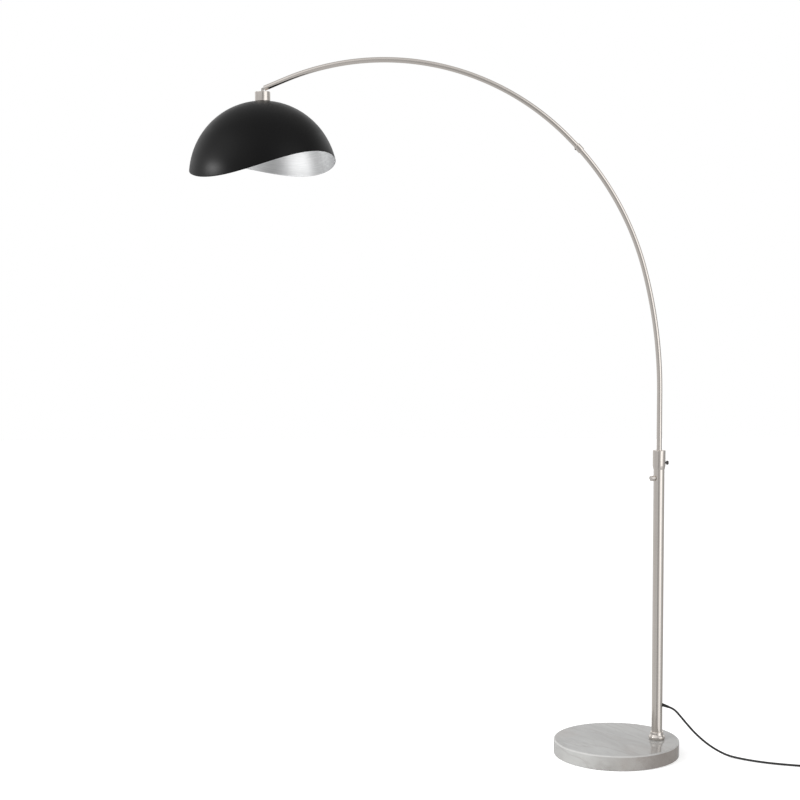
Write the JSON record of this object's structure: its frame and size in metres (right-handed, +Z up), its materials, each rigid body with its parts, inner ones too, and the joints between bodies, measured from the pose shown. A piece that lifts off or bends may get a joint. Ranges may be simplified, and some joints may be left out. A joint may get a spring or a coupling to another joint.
{
  "type": "arc floor lamp",
  "caption": "Arc floor lamp: a marble disc base, a tubular pole, a bowed two-part arm that swivels in a collar, and a wavy-rimmed dome shade that tilts.",
  "frame": {"origin": "centre of the base's underside, on the floor", "axes": "+Z up, -X out along the arm towards the shade, Y across; the arm lies in the plane Y = 0"},
  "size_m": [1.9449, 0.439, 2.1099],
  "materials": {
    "marble": "polished grey marble",
    "felt": "black felt",
    "zinc_steel": "zinc plated",
    "nickel": "brushed nickel plate on steel",
    "dark_screw": "black oxide",
    "nylon": "natural nylon",
    "boot_rubber": "soft black PVC",
    "cord_jacket": "black PVC jacket",
    "plug_plastic": "moulded black PVC",
    "brass": "plain brass",
    "phenolic": "moulded black phenolic",
    "shade_metal": "satin black outside, silver leaf inside",
    "bulb_glass": "frosted",
    "bulb_cap": "rolled thread",
    "dimmer_case": "moulded",
    "tie": "black tie strip"
  },
  "bodies": {
    "root": {"base_felt": "felt", "marble_base": "marble", "base_washer": "zinc_steel", "base_spring_washer": "zinc_steel", "base_bolt": "zinc_steel", "pole_foot_plug": "zinc_steel", "lower_pole": "nickel", "base_flange": "nickel", "cord_strain_relief": "boot_rubber", "pole_lead": "cord_jacket", "dimmer_body": "dimmer_case", "dimmer_nut": "nickel", "pole_collar": "nickel", "upper_bush": "nylon", "lower_bush": "nylon", "cord_run": "cord_jacket", "cord_coil": "cord_jacket", "cord_tail": "cord_jacket", "cord_tie": "tie", "plug_body": "plug_plastic", "plug_blades": "brass"},
    "lock_pad": {"lock_pad": "brass"},
    "lock_screw": {"lock_screw": "dark_screw"},
    "dimmer_knob": {"dimmer_shaft": "brass", "dimmer_knob": "nickel"},
    "arm": {"lower_arm_tube": "nickel", "stem_end_bush": "nylon", "arm_coupler": "nickel", "coupler_grub_screw": "dark_screw", "coupler_spigot": "zinc_steel", "upper_arm_tube": "nickel", "arm_lead": "cord_jacket", "arm_tip_plug": "nickel", "tilt_pin": "nickel"},
    "shade": {"shade_knuckle": "nickel", "cup_nut": "zinc_steel", "socket_cup": "nickel", "lamp_socket": "phenolic", "socket_shell": "brass", "socket_contact": "brass", "shade_ring": "phenolic", "dome_shade": "shade_metal"},
    "bulb": {"bulb_cap": "bulb_cap", "bulb_glass": "bulb_glass"}
  },
  "joints": [
    {"name": "arm_swivel", "type": "hinge", "parent": "root", "child": "arm", "pos_m": [0.124, 0, 0.93], "axis": [0, 0, 1], "range_deg": [-170, 170]},
    {"name": "shade_tilt", "type": "hinge", "parent": "arm", "child": "shade", "pos_m": [-1.062, 0, 2.01738], "axis": [0, 1, 0], "range_deg": [-12, 45]},
    {"name": "bulb_out", "type": "slide", "parent": "shade", "child": "bulb", "axis": [0, 0, -1], "range_m": [0, 0.12]},
    {"name": "dimmer_turn", "type": "hinge", "parent": "root", "child": "dimmer_knob", "pos_m": [0.124, 0, 0.8508], "axis": [-0.866, -0.5, 0], "range_deg": [0, 300]},
    {"name": "lock_pad_slide", "type": "slide", "parent": "root", "child": "lock_pad", "axis": [1, 0, 0], "range_m": [0, 0.0017]},
    {"name": "lock_screw_turn", "type": "hinge", "parent": "lock_pad", "child": "lock_screw", "pos_m": [0.14, 0, 0.8966], "axis": [1, 0, 0], "range_deg": [0, 720]}
  ],
  "couplings": [
    {"joint": "lock_pad_slide", "follows": "lock_screw_turn", "m_per_rad": 0.00012732}
  ]
}
